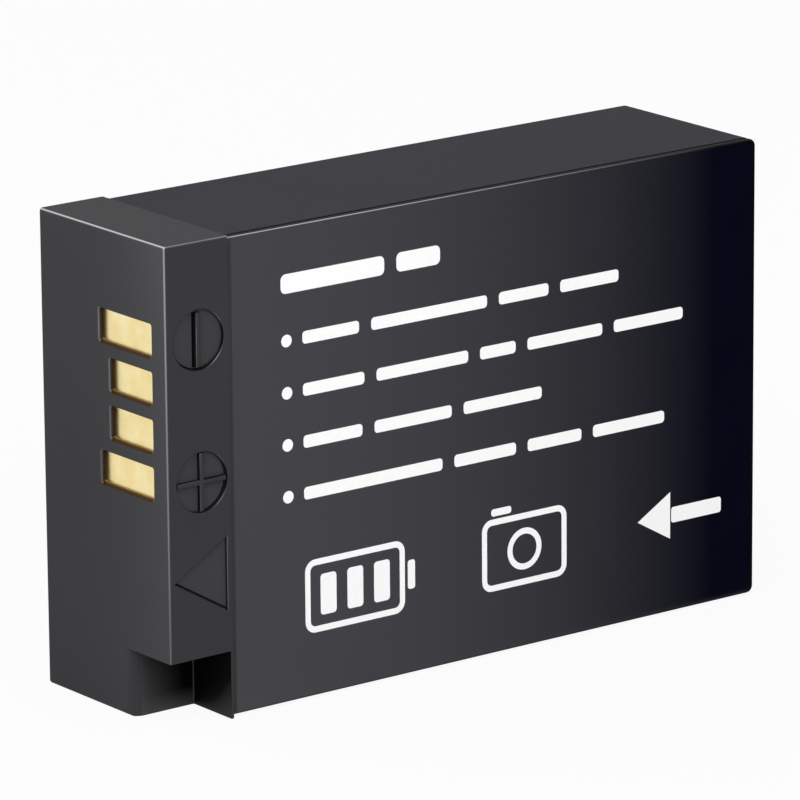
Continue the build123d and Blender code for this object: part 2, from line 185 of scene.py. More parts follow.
class Shader:
    """Node tree of a material or of the world while it is being put together."""

    def __init__(self, owner: Union[bpy.types.Material, bpy.types.World]) -> None:
        """Starts an empty node tree on a material or on the world."""
        owner.use_nodes = True
        self.tree = owner.node_tree
        self.tree.nodes.clear()

    def node(
        self, kind: str, settings: Optional[dict[str, object]] = None, sockets: Optional[Sockets] = None
    ) -> bpy.types.Node:
        """Adds a node.

        Args:
            kind: Type of the node.
            settings: Its settings, which are made first.
            sockets: Values or links of its input sockets, by name or by place.

        Returns:
            The new node.
        """
        made = self.tree.nodes.new(kind)
        for key, value in (settings or {}).items():
            setattr(made, key, value)
        for key, value in (sockets or {}).items():
            if isinstance(value, Term):
                self.tree.links.new(value.socket, made.inputs[key])
            elif isinstance(value, bpy.types.NodeSocket):
                self.tree.links.new(value, made.inputs[key])
            else:
                made.inputs[key].default_value = value
        return made

    def place(self, stretch: Triple = (1.0, 1.0, 1.0)) -> bpy.types.NodeSocket:
        """Object coordinates, times factors along the three axes."""
        where = self.node("ShaderNodeTexCoord").outputs["Object"]
        return self.node("ShaderNodeMapping", {}, {"Vector": where, "Scale": stretch}).outputs[0]

    def along(self, axis: Axis) -> Term:
        """Object coordinate along one axis."""
        return Term(self, self.node("ShaderNodeSeparateXYZ", {}, {0: self.place()}).outputs[axis.value])

    def turned(self, axis: Axis) -> Term:
        """Part of the surface's normal along one axis, from -1 to 1."""
        normal = self.node("ShaderNodeNewGeometry").outputs["Normal"]
        return Term(self, self.node("ShaderNodeSeparateXYZ", {}, {0: normal}).outputs[axis.value])

    def facing(self, axis: Axis) -> Term:
        """How squarely the surface faces along one axis: 1 where it faces straight along it."""
        return abs(self.turned(axis))

    def grain(self, size: float, detail: float = 2.0, stretch: Triple = (1.0, 1.0, 1.0)) -> Term:
        """Noise from about 0 to 1: grains of a size, with finer layers and factors along the axes."""
        sockets = {"Vector": self.place(stretch), "Scale": 1.0 / size, "Detail": detail}
        return Term(self, self.node("ShaderNodeTexNoise", {}, sockets).outputs["Fac"])

    def cells(self, size: float) -> Term:
        """Distance to the nearest of many scattered points, as in a foam of a given cell size."""
        sockets = {"Vector": self.place(), "Scale": 1.0 / size}
        return Term(self, self.node("ShaderNodeTexVoronoi", {}, sockets).outputs["Distance"])

    def rounding(self) -> Term:
        """How far the surface turns away from the axes: 0 on flat faces and about 0.3 on rounded edges."""
        length, thickness, height = [self.facing(axis) for axis in Axis]
        return 1.0 - length.greatest(thickness).greatest(height)

    def blend(self, share: Number, first: Input, second: Input) -> bpy.types.NodeSocket:
        """Mixes two colours.

        Args:
            share: Share of the second colour.
            first: Colour at 0.
            second: Colour at 1.

        Returns:
            The mixed colour's socket.
        """
        colours = [(*c, 1.0) if isinstance(c, tuple) else c for c in (first, second)]
        sockets = {0: share, 6: colours[0], 7: colours[1]}
        return self.node("ShaderNodeMix", {"data_type": "RGBA"}, sockets).outputs[2]

    def relief(self, height: Term, depth: float, strength: float) -> bpy.types.NodeSocket:
        """Normal of a relief of a depth, from a height of 0 to 1, of which a share shows."""
        sockets = {"Strength": strength, "Distance": depth, "Height": height}
        return self.node("ShaderNodeBump", {}, sockets).outputs["Normal"]

    def surface(self, sockets: dict[str, Input]) -> None:
        """Ends a material with a Principled shader that has the given inputs."""
        shader = self.node("ShaderNodeBsdfPrincipled", {}, sockets)
        self.node("ShaderNodeOutputMaterial", {}, {"Surface": shader.outputs[0]})

    def mixture(self, share: Term, first: bpy.types.Node, second: bpy.types.Node) -> None:
        """Ends a material with a mix of two shaders, by the share of the second."""
        mixed = self.node("ShaderNodeMixShader", {}, {0: share, 1: first.outputs[0], 2: second.outputs[0]})
        self.node("ShaderNodeOutputMaterial", {}, {"Surface": mixed.outputs[0]})


# Finishes


@dataclass(frozen=True)
class Finish:
    """Surface of one kind, made once and shared by the pieces that have it."""

    name: str
    slot: Slot

    def paint(self, shader: Shader) -> None:
        """Puts the finish's nodes together."""
        raise NotImplementedError

    def material(self) -> bpy.types.Material:
        """The finish's material, made at the first call."""
        made = bpy.data.materials.get(self.name)
        if made is None:
            made = bpy.data.materials.new(self.name)
            self.paint(Shader(made))
        return made


@dataclass(frozen=True)
class MouldedPlastic(Finish):
    """Dark plastic with a fine spark-eroded grain; painted highlights lie along its outer edges, painted sheen
    on its end face, painted shade in its notch and marks, and a painted gold reflection in its windows.
    """

    end_dark: Colour = (0.0297, 0.0299, 0.0322)
    end_light: Colour = (0.0368, 0.0370, 0.0396)
    tray_dark: Colour = (0.0139, 0.0143, 0.0188)
    tray_light: Colour = (0.0174, 0.0178, 0.0229)
    # painted sheen: a lighter tone for the end face, brighter upwards and towards the front edge, and for the
    # notch's back wall
    painted_sheen: Colour = (0.0745, 0.0750, 0.0785)
    # painted highlight: light grey laid along the rounded outer edges and some rims
    edge_highlight: Colour = (0.46, 0.46, 0.465)
    # painted shade: near-black tone for the walls, slots and grooves of the marks, rims turned towards the far
    # end, and faces of the cover that look up
    shadow_tone: Colour = (0.0060, 0.0060, 0.0065)
    # painted reflection of the gold plates: gold on the sills near the plates, dark brown shade nearer the
    # mouth and on the inner walls
    gold_reflection: Colour = (0.300, 0.180, 0.050)
    dark_gold_reflection: Colour = (0.034, 0.017, 0.006)
    shade: Colour = (0.0005, 0.0005, 0.0007)
    roughness: float = 0.58
    specular: float = 0.05
    grain_size: float = 0.11 * MM
    cloud_size: float = 9.0 * MM
    grain_depth: float = 0.004 * MM
    sway: float = 0.12
    bump: float = 0.35
    edge_gloss: float = 0.22
    edge_reach: float = 0.45 * MM
    front_reach: float = 0.45 * MM
    rim_reach: float = 0.12 * MM
    end_length: float = 5.07 * MM
    top_margin: float = 2.0 * MM
    round_span: Pair = (0.04, 0.28)
    # painted highlight: how it fades towards the far end and downwards, its weights by face direction, and its
    # share on window and mark rims
    highlight_span: Pair = (13.7 * MM, 45.7 * MM)
    far_highlight_fade: float = 0.97
    low_highlight: float = 0.12
    top_highlight: float = 0.61
    front_highlight: float = -0.13
    window_highlight: float = 0.26
    mark_highlight: float = 0.45
    mark_span: Pair = (1.0 * MM, 4.0 * MM)
    mark_level: float = 5.0 * MM
    mark_depth: float = 0.60 * MM
    # floors of the marks are lightened a little towards the painted sheen
    mark_floor_lift: float = 0.2
    slot_depth: float = 0.40 * MM
    arrow_top: float = 13.0 * MM
    # shares of painted shade on the arrow's walls and on the rims of the marks
    arrow_shadow: float = 0.72
    rim_shadow: float = 0.8
    rim_span: Pair = (0.02, 0.12)
    rim_turn: float = 0.15
    window_level: float = 8.0 * MM
    window_span: Pair = (1.0 * MM, 9.0 * MM)
    window_turn: float = 0.2
    sill_span: Pair = (0.2, 0.6)
    wall_reflection_span: Pair = (0.16 * MM, 0.28 * MM)
    notch: Triple = (4.82 * MM, 4.22 * MM, 4.62 * MM)
    notch_side: float = 4.0 * MM
    # share of painted sheen on the notch's back wall
    notch_sheen: float = 0.4
    back_span: Pair = (0.4 * MM, 3.9 * MM)
    back_rise: float = 1.3 * MM
    back_powers: Pair = (0.6, 0.75)
    side_gain: Pair = (0.36, 0.2)
    side_power: float = 0.9
    corner_span: Pair = (0.03, 0.15)
    # reach and levels of the painted sheen on the end face
    sheen_reach: float = 10.0 * MM
    sheen_levels: Triple = (0.17, 0.40, 0.28)
    # share of painted shade that grows towards the far end
    far_shade: float = 0.0
    fade_span: Pair = (6.3 * MM, 46.3 * MM)
    fade_power: float = 1.68
    # share of painted shade on faces that look up
    top_shadow: float = 0.0
    top_span: Pair = (0.55, 0.85)

    @staticmethod
    def _inwards(shader: Shader) -> list[Term]:
        """Distances from the near end, the front and the underside of the part."""
        return [shader.along(axis) - low for axis, low in zip(Axis, CAD_LOW)]

    def _zone(self, shader: Shader, level: float) -> Term:
        """1 over a level and under the topmost part of the case, and 0 elsewhere."""
        height = self._inwards(shader)[2]
        return height.over(level) * (CAD_HIGH.z - CAD_LOW.z - self.top_margin - height).over(0.0)

    def _edges(self, shader: Shader, cloud: Term) -> Term:
        """Share of painted highlight: full where two outer faces meet, slight on the rims of windows and marks.

        Args:
            shader: Where the nodes go.
            cloud: Broad mottling, from 0 to 1.

        Returns:
            A term from 0 to 1, which falls off downwards and towards the far end.
        """
        extent = CAD_HIGH - CAD_LOW
        beside, depth, height = self._inwards(shader)
        outer = 0.0
        reaches = (self.edge_reach, self.front_reach, self.edge_reach)
        for place, size, reach in zip((beside, depth, height), extent, reaches):
            outer = abs(place - size / 2).over(size / 2 - reach) + outer
        lean = shader.facing(Axis.LENGTH) + self.top_highlight * shader.facing(Axis.HEIGHT) + self.front_highlight
        upright = shader.facing(Axis.THICKNESS).over(self.window_turn) * height.over(self.window_level)
        window = (self.rim_reach - beside).over(0.0) * upright
        mark = (self.rim_reach - depth).over(0.0) * beside.climb(*self.mark_span)
        mark = mark * (0.0 - shader.turned(Axis.LENGTH)).over(self.rim_turn)
        # painted highlight on outer edges that face the end and the top, and on rims of windows and marks
        highlit = (outer.over(1.5) * lean).greatest(self.window_highlight * window).greatest(self.mark_highlight * mark)
        fade = self.low_highlight + (1.0 - self.low_highlight) * height.climb(0.0, extent.z)
        fade = fade * height.over(self.edge_reach) * (1.0 - self.far_highlight_fade * beside.climb(*self.highlight_span))
        return shader.rounding().ramp(*self.round_span) * highlit * fade * (0.8 + 0.4 * cloud)

    def _marks(self, shader: Shader) -> tuple[Term, Term]:
        """Inside of the marks in the front of the contact end.

        Args:
            shader: Where the nodes go.

        Returns:
            Their floors as 0 or 1, and the share of painted shade on their walls, slots and rims.
        """
        beside, depth, height = self._inwards(shader)
        # walls, and floors sunk deeper than the slot depth, get painted shade
        walls = (0.5 - shader.facing(Axis.THICKNESS)).over(0.0).greatest(depth.over(self.slot_depth))
        share = self.arrow_shadow + (1.0 - self.arrow_shadow) * height.over(self.arrow_top)
        rim = shader.rounding().ramp(*self.rim_span) * shader.turned(Axis.LENGTH).over(self.rim_turn)
        sunk = depth.over(self.rim_reach / 2) * (self.mark_depth - depth).over(0.0)
        across = beside.over(self.edge_reach) * (self.end_length - 2.0 * self.rim_reach - beside).over(0.0)
        within = across * self._zone(shader, self.mark_level)
        return sunk * within * (1.0 - walls), within * (sunk * walls * share).greatest(self.rim_shadow * rim)

    def _notch(self, shader: Shader) -> tuple[Term, Term]:
        """Inside of the key notch.

        Args:
            shader: Where the nodes go.

        Returns:
            Its back wall as 0 or 1, and the share of shade on its walls, which grows upwards and inwards.
        """
        beside, depth, height = self._inwards(shader)
        inside = 1.0
        for place, limit in zip((beside, depth, height), self.notch):
            inside = (limit - place).over(0.0) * inside
        deep = beside.over(self.notch_side)
        back = inside * shader.facing(Axis.THICKNESS)
        inner, upper = self.back_powers
        back_shade = beside.climb(*self.back_span) ** inner * height.climb(0.0, self.back_rise) ** upper
        side = inside * deep * shader.facing(Axis.LENGTH)
        front_gain, inner_gain = self.side_gain
        side_gain = front_gain + inner_gain * (depth * (1.0 / MM)) ** 2.0
        side_shade = (height * side_gain).climb(0.0, MM) ** self.side_power
        corner = 1.0 - deep * shader.rounding().ramp(*self.corner_span)
        return back, (back * back_shade).greatest(side * side_shade) * corner

    def _windows(self, shader: Shader) -> tuple[Term, Term]:
        """Insides of the contact windows, where a reflection of the gold plates is painted.

        Args:
            shader: Where the nodes go.

        Returns:
            The share of their sills and inner walls that carries the painted reflection, and the part of the
            sills where it is bright gold rather than dark brown, from 0 to 1.
        """
        beside, depth, _ = self._inwards(shader)
        front, rear = self.window_span
        across = depth.over(front) * (rear - depth).over(0.0)
        within = (self.slot_depth - beside).over(0.0) * across * self._zone(shader, self.window_level)
        sill = shader.turned(Axis.HEIGHT).ramp(*self.sill_span)
        wall = (-0.5 - shader.turned(Axis.THICKNESS)).over(0.0) * beside.ramp(*self.wall_reflection_span)
        return within * sill.greatest(wall), sill * beside.climb(self.rim_reach, self.slot_depth) ** 2.0

    def paint(self, shader: Shader) -> None:
        """Clouded base colour with painted highlights, sheen, shade and reflections, and a fine grain in the
        gloss and the relief.
        """
        grain = shader.grain(self.grain_size)
        cloud = shader.grain(self.cloud_size, 3.0)
        beside, depth, height = self._inwards(shader)
        # painted highlight along the edges
        edge = self._edges(shader, cloud)
        end = shader.blend(cloud, self.end_dark, self.end_light)
        tray = shader.blend(cloud, self.tray_dark, self.tray_light)
        # painted shade growing towards the far end
        far_shade = self.far_shade * beside.climb(*self.fade_span) ** self.fade_power
        body = shader.blend(beside.over(self.end_length), end, shader.blend(far_shade, tray, self.shade))
        upper = height.climb(0.0, CAD_HIGH.z - CAD_LOW.z)
        # painted sheen on the end face, brighter upwards and towards the front edge
        overall, frontal, corner = self.sheen_levels
        end_sheen = overall * upper + depth.climb(self.sheen_reach, 0.0) ** 2.0 * (frontal + corner * upper ** 4.0)
        end_sheen = end_sheen * (self.rim_reach - beside).over(0.0)
        reflection_share, gold_share = self._windows(shader)
        mark_floor, mark_shadow = self._marks(shader)
        notch_back, notch_shade = self._notch(shader)
        # painted sheen on the end face and the notch's back wall, and a little on the mark floors
        sheen_share = end_sheen.greatest(self.notch_sheen * notch_back).greatest(self.mark_floor_lift * mark_floor)
        body = shader.blend(sheen_share, body, self.painted_sheen)
        # painted shade on the marks and on faces that look up
        topside = self.top_shadow * shader.facing(Axis.HEIGHT).ramp(*self.top_span)
        body = shader.blend(mark_shadow.greatest(topside), body, self.shadow_tone)
        # painted reflection of the gold in the windows, dark brown where it stands for shade
        body = shader.blend(reflection_share, body, shader.blend(gold_share, self.dark_gold_reflection, self.gold_reflection))
        body = shader.blend(notch_shade, body, self.shade)
        shader.surface({
            # the painted edge highlight is laid over the body colour
            "Base Color": shader.blend(edge, body, self.edge_highlight),
            "Roughness": self.roughness + self.sway * (grain - 0.5) - self.edge_gloss * edge,
            "Specular IOR Level": self.specular,
            "Normal": shader.relief(grain, self.grain_depth, self.bump),
        })


@dataclass(frozen=True)
class GlossFilm(Finish):
    """Dark printed film under a gloss laminate."""

    dark: Colour = (0.0015, 0.0019, 0.0075)
    light: Colour = (0.0022, 0.0026, 0.0095)
    roughness: float = 0.20
    index: float = 1.60
    wave_size: float = 3.2 * MM
    dust_size: float = 0.35 * MM
    wave_depth: float = 0.003 * MM
    dust_sway: float = 0.05
    wave_sway: float = 0.04
    bump: float = 0.25

    def paint(self, shader: Shader) -> None:
        """Near-black colour, with faint handling marks in the gloss and a slight waviness."""
        wave = shader.grain(self.wave_size, 1.0)
        dust = shader.grain(self.dust_size, 4.0)
        shader.surface({
            "Base Color": shader.blend(wave, self.dark, self.light),
            "Roughness": self.roughness + self.dust_sway * (dust - 0.5) + self.wave_sway * (wave - 0.5),
            "IOR": self.index,
            "Normal": shader.relief(wave, self.wave_depth, self.bump),
        })


@dataclass(frozen=True)
class Sheet(Finish):
    """Sheet, ink or plating with a fine structure over a broad mottling."""

    dark: Colour
    light: Colour
    roughness: float
    stretch: Triple = (1.0, 1.0, 1.0)
    fine_size: float = 0.25 * MM
    broad_size: float = 3.0 * MM
    fine_depth: float = 0.02 * MM
    fine_share: float = 0.6
    detail: float = 3.0
    sways: Pair = (0.1, 0.0)
    bump: float = 0.5
    metallic: float = 0.0
    open_cells: bool = False

    def paint(self, shader: Shader) -> None:
        """Structure and mottling in colour and gloss, and the structure in relief."""
        if self.open_cells:
            fine = shader.cells(self.fine_size)
        else:
            fine = shader.grain(self.fine_size, self.detail, self.stretch)
        broad = shader.grain(self.broad_size)
        tone = self.fine_share * fine + (1.0 - self.fine_share) * broad
        fine_sway, broad_sway = self.sways
        shader.surface({
            "Base Color": shader.blend(tone, self.dark, self.light),
            "Metallic": self.metallic,
            "Roughness": self.roughness + fine_sway * (fine - 0.5) + broad_sway * (broad - 0.5),
            "Normal": shader.relief(fine, self.fine_depth, self.bump),
        })


@dataclass(frozen=True)
class BrushedMetal(Sheet):
    """Sheet metal or plating with fine lines drawn along one axis, and a faint tarnish."""

    fine_size: float = 0.12 * MM
    broad_size: float = 4.0 * MM
    fine_depth: float = 0.0015 * MM
    fine_share: float = 0.65
    detail: float = 2.0
    sways: Pair = (0.16, 0.06)
    bump: float = 0.3
    metallic: float = 1.0


@dataclass(frozen=True)
class BoardMask(Finish):
    """Green solder mask over copper tracks."""

    mask: Colour = (0.012, 0.105, 0.042)
    track: Colour = (0.030, 0.200, 0.085)
    roughness: float = 0.30
    track_pitch: float = 1.1 * MM
    weave_size: float = 0.3 * MM
    track_depth: float = 0.03 * MM
    track_run: float = 0.12
    track_span: Pair = (0.05, 0.03)
    weave_share: float = 0.2
    sway: float = 0.1
    bump: float = 0.4

    def paint(self, shader: Shader) -> None:
        """Tracks that show through the mask as lighter, slightly raised lines over the laminate's weave."""
        across = abs(shader.grain(self.track_pitch, 0.0, (1.0, 1.0, self.track_run)) - 0.5)
        upright = abs(shader.grain(self.track_pitch, 0.0, (1.0, self.track_run, 1.0)) - 0.5)
        track = across.ramp(*self.track_span).greatest(upright.ramp(*self.track_span))
        weave = shader.grain(self.weave_size, 1.0)
        tone = (1.0 - self.weave_share) * track + self.weave_share * weave
        shader.surface({
            "Base Color": shader.blend(tone, self.mask, self.track),
            "Roughness": self.roughness + self.sway * (weave - 0.5),
            "Normal": shader.relief(track, self.track_depth, self.bump),
        })


@dataclass(frozen=True)
class MouldedChip(Finish):
    """Chip body with tinned ends or leads on both sides of its middle."""

    middle: float
    body_half: float
    body: Colour
    tin: Colour = (0.62, 0.61, 0.58)
    roughness: float = 0.55
    grain_size: float = 0.07 * MM
    grain_depth: float = 0.005 * MM
    fleck: float = 0.4
    tin_gloss: float = 0.25
    sway: float = 0.12
    bump: float = 0.4

    def paint(self, shader: Shader) -> None:
        """Dull moulding in the middle and bright tin outside it."""
        grain = shader.grain(self.grain_size)
        tin = abs(shader.along(Axis.THICKNESS) - self.middle).over(self.body_half)
        body = shader.blend(self.fleck * grain, self.body, self.tin)
        shader.surface({
            "Base Color": shader.blend(tin, body, self.tin),
            "Metallic": tin,
            "Roughness": self.roughness - self.tin_gloss * tin + self.sway * (grain - 0.5),
            "Normal": shader.relief(grain, self.grain_depth, self.bump),
        })


CHIP_BLACK = (0.014, 0.014, 0.015)
CASE_PLASTIC = MouldedPlastic("finish_case_plastic", Slot.CASE)
# The cover's plastic is a lighter copy of the case's, which darkens into painted shade towards the far end and
# gets painted shade on faces that look up.
COVER_PLASTIC = MouldedPlastic(
    "finish_cover_plastic",
    Slot.CASE,
    tray_dark=(0.0350, 0.0356, 0.0400),
    tray_light=(0.0420, 0.0426, 0.0470),
    end_length=5.40 * MM,
    front_reach=0.27 * MM,
    front_highlight=0.38,
    far_shade=0.95,
    top_shadow=0.85,
)
LABEL_FILM = GlossFilm("finish_label_film", Slot.LABEL)
PRINT_INK = Sheet(
    "finish_print_ink",
    Slot.LABEL,
    (0.84, 0.84, 0.84),
    (0.93, 0.93, 0.925),
    0.42,
    fine_size=0.16 * MM,
    fine_depth=0.002 * MM,
    fine_share=1.0,
    bump=0.3,
)
GOLD_PLATE = BrushedMetal(
    "finish_gold_plate",
    Slot.GOLD,
    (0.80, 0.57, 0.18),
    (1.00, 0.94, 0.60),
    0.30,
    (1.0, 1.0, 0.04),
    broad_size=1.3 * MM,
    fine_share=0.2,
)
BOARD_MASK = BoardMask("finish_board_mask", Slot.BOARD)
CELL_CAN = BrushedMetal(
    "finish_cell_can", Slot.CELL, (0.66, 0.67, 0.68), (0.78, 0.79, 0.80), 0.34, (0.03, 1.0, 1.0)
)
NICKEL_SHEET = BrushedMetal(
    "finish_nickel_sheet", Slot.NICKEL, (0.56, 0.54, 0.49), (0.72, 0.70, 0.65), 0.30, (1.0, 1.0, 0.05)
)
GASKET = Sheet(
    "finish_gasket", Slot.GASKET, (0.70, 0.70, 0.66), (0.82, 0.82, 0.79), 0.38,
    fine_size=0.5 * MM, broad_size=6.0 * MM
)
LID_PAPER = Sheet(
    "finish_lid_paper",
    Slot.PAPER,
    (0.50, 0.44, 0.27),
    (0.68, 0.62, 0.42),
    0.82,
    (1.0, 1.0, 0.2),
    0.15 * MM,
    1.8 * MM,
)
CELL_TAPE = Sheet("finish_cell_tape", Slot.TAPE, (0.74, 0.74, 0.71), (0.86, 0.86, 0.84), 0.55, (0.1, 1.0, 1.0))
FOAM_SHEET = Sheet(
    "finish_foam",
    Slot.FOAM,
    (0.010, 0.010, 0.011),
    (0.045, 0.045, 0.047),
    0.92,
    fine_size=0.22 * MM,
    broad_size=2.64 * MM,
    open_cells=True,
)


# Modelling


@contextmanager
def editing(
    piece: bpy.types.Object, chosen: Optional[Callable[[bpy.types.MeshPolygon], bool]] = None
) -> Iterator[None]:
    """Holds one piece in edit mode, with all or some of its faces selected.

    Args:
        piece: The piece to edit.
        chosen: Test for the faces to select, or none for all of them.
    """
    only(piece)
    bpy.ops.object.mode_set(mode="EDIT")
    bpy.ops.mesh.select_mode(type="FACE")
    bpy.ops.mesh.select_all(action="DESELECT" if chosen else "SELECT")
    if chosen:
        bpy.ops.object.mode_set(mode="OBJECT")
        for face in piece.data.polygons:
            face.select = chosen(face)
        bpy.ops.object.mode_set(mode="EDIT")
    yield
    bpy.ops.object.mode_set(mode="OBJECT")


def squared(face: bpy.types.MeshPolygon) -> bool:
    """Whether a face looks straight along one of the axes."""
    return max(abs(part) for part in face.normal) > STRAIGHT


def only(piece: bpy.types.Object) -> None:
    """Makes one piece the active one and the only one selected."""
    bpy.ops.object.select_all(action="DESELECT")
    piece.select_set(True)
    bpy.context.view_layer.objects.active = piece


def settle(piece: bpy.types.Object) -> None:
    """Puts a piece's place, turn and scale into its mesh."""
    only(piece)
    bpy.ops.object.transform_apply(location=True, rotation=True, scale=True)


def apply_modifier(piece: bpy.types.Object, kind: str, **settings: object) -> None:
    """Adds a modifier and applies it.

    Args:
        piece: The piece that gets it.
        kind: Type of the modifier.
        settings: Its settings.
    """
    only(piece)
    modifier = piece.modifiers.new(kind.lower(), kind)
    for key, value in settings.items():
        setattr(modifier, key, value)
    bpy.ops.object.modifier_apply(modifier=modifier.name)


def new_piece(name: str) -> bpy.types.Object:
    """Names the object that an operator has just added, and gives it back."""
    piece = bpy.context.view_layer.objects.active
    piece.name = name
    piece.data.name = name
    return piece


def smooth(piece: bpy.types.Object, angle: float = 40.0) -> None:
    """Shades rounded edges smooth and keeps flat faces flat.

    Args:
        piece: The piece to shade.
        angle: Edges sharper than this, in degrees, stay sharp.
    """
    only(piece)
    bpy.ops.object.shade_smooth_by_angle(angle=math.radians(angle))
    with editing(piece, squared):
        bpy.ops.mesh.mod_weighted_strength(set=True, face_strength="STRONG")
    apply_modifier(piece, "WEIGHTED_NORMAL", mode="FACE_AREA", keep_sharp=True, use_face_influence=True)


def copy_of(node: str, name: str) -> bpy.types.Object:
    """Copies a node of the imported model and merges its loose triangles.

    Args:
        node: Name of the node.
        name: Name of the copy.

    Returns:
        The copy.
    """
    only(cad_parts[node])
    bpy.ops.object.duplicate()
    piece = new_piece(name)
    piece.parent = None
    for key in [key for key in piece.keys() if key.startswith("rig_")]:
        del piece[key]
    with editing(piece):
        bpy.ops.mesh.remove_doubles(threshold=MERGE_DISTANCE)
    bpy.ops.mesh.customdata_custom_splitnormals_clear()
    return piece


def wear(piece: bpy.types.Object, finish: Finish) -> None:
    """Gives a piece or a node its finish.

    Args:
        piece: Piece or node.
        finish: What it is made of.
    """
    if not piece.material_slots:
        piece.data.materials.append(None)
    for slot in piece.material_slots:
        slot.material = finish.material()


def fasten(piece: bpy.types.Object, finish: Finish, *nodes: str) -> None:
    """Puts a finished piece on the part.

    Args:
        piece: The piece.
        finish: What it is made of.
        nodes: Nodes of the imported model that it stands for.
    """
    wear(piece, finish)
    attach(piece, BODY)
    if nodes:
        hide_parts(*nodes)
    log.info("piece %s: %d faces, %s", piece.name, len(piece.data.polygons), finish.name)


def flat_polygon(
    name: str, centre: Vector, radius: float, corners: int, turn: float = 0.0
) -> bpy.types.Object:
    """Filled polygon that faces the front.

    Args:
        name: Name of the piece.
        centre: Its middle.
        radius: Distance of its corners from the middle.
        corners: Number of corners.
        turn: Angle that it is turned by about its middle.

    Returns:
        The piece.
    """
    bpy.ops.mesh.primitive_circle_add(
        vertices=corners, radius=radius, fill_type="NGON", location=centre, rotation=FACING_FRONT
    )
    piece = new_piece(name)
    settle(piece)
    if turn:
        with editing(piece):
            bpy.ops.transform.rotate(value=turn, orient_axis="Y", center_override=centre)
    return piece


def flat_plate(name: str, centre: Vector, size: Pair, corner: float = 0.0) -> bpy.types.Object:
    """Filled rectangle that faces the front, with its corners rounded.

    Args:
        name: Name of the piece.
        centre: Its middle.
        size: Width and height.
        corner: Radius of its corners.

    Returns:
        The piece.
    """
    bpy.ops.mesh.primitive_plane_add(size=1.0, location=centre, rotation=FACING_FRONT)
    piece = new_piece(name)
    piece.scale = (*size, 1.0)
    settle(piece)
    if corner > 0.0:
        with editing(piece):
            bpy.ops.mesh.bevel(offset=corner, segments=CORNER_STEPS, affect="VERTICES")
    return piece


def hollow(piece: bpy.types.Object, line: float) -> None:
    """Leaves only the outline of a flat piece.

    Args:
        piece: The flat piece.
        line: Width of the outline.
    """
    with editing(piece):
        bpy.ops.mesh.inset(thickness=line, depth=0.0)
        bpy.ops.mesh.delete(type="FACE")


def thicken(piece: bpy.types.Object, thickness: float, outwards: bool = False) -> None:
    """Gives a flat piece thickness, towards the front or else into the part."""
    apply_modifier(piece, "SOLIDIFY", thickness=thickness, offset=1.0 if outwards else -1.0)


def cut_away(piece: bpy.types.Object, cutter: bpy.types.Object) -> None:
    """Takes the space of a cutter, a closed solid, out of a piece, and removes the cutter."""
    apply_modifier(piece, "BOOLEAN", operation="DIFFERENCE", solver="EXACT", object=cutter)
    bpy.data.objects.remove(cutter)


def joined(pieces: list[bpy.types.Object], name: str) -> bpy.types.Object:
    """Joins pieces into one.

    Args:
        pieces: The pieces, of which the first takes in the others.
        name: Name of the result.

    Returns:
        The joined piece.
    """
    bpy.ops.object.select_all(action="DESELECT")
    for piece in pieces:
        piece.select_set(True)
    bpy.context.view_layer.objects.active = pieces[0]
    bpy.ops.object.join()
    return new_piece(name)


def wear_chip(node: str, half: float, slot: Slot = Slot.CHIP, body: Colour = CHIP_BLACK) -> None:
    """Gives a chip its moulding and the tin of its leads or ends.

    Args:
        node: Name of its node.
        half: Distance from its middle where the tin begins.
        slot: Its material slot.
        body: Colour of its moulding.
    """
    low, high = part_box(node)
    wear(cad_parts[node], MouldedChip("finish_" + node, slot, (low.y + high.y) / 2, half, body))


# Sub-assemblies


@dataclass(frozen=True)
class Mark:
    """Engraved mark: its middle, outline and depth, its groove's shift and the bars left standing in it."""

    centre: Pair
    radius: float
    corners: int
    depth: float
    groove: Pair
    bars: tuple[Pair, ...] = ()
    turn: float = 0.0
    stretch: float = 1.0


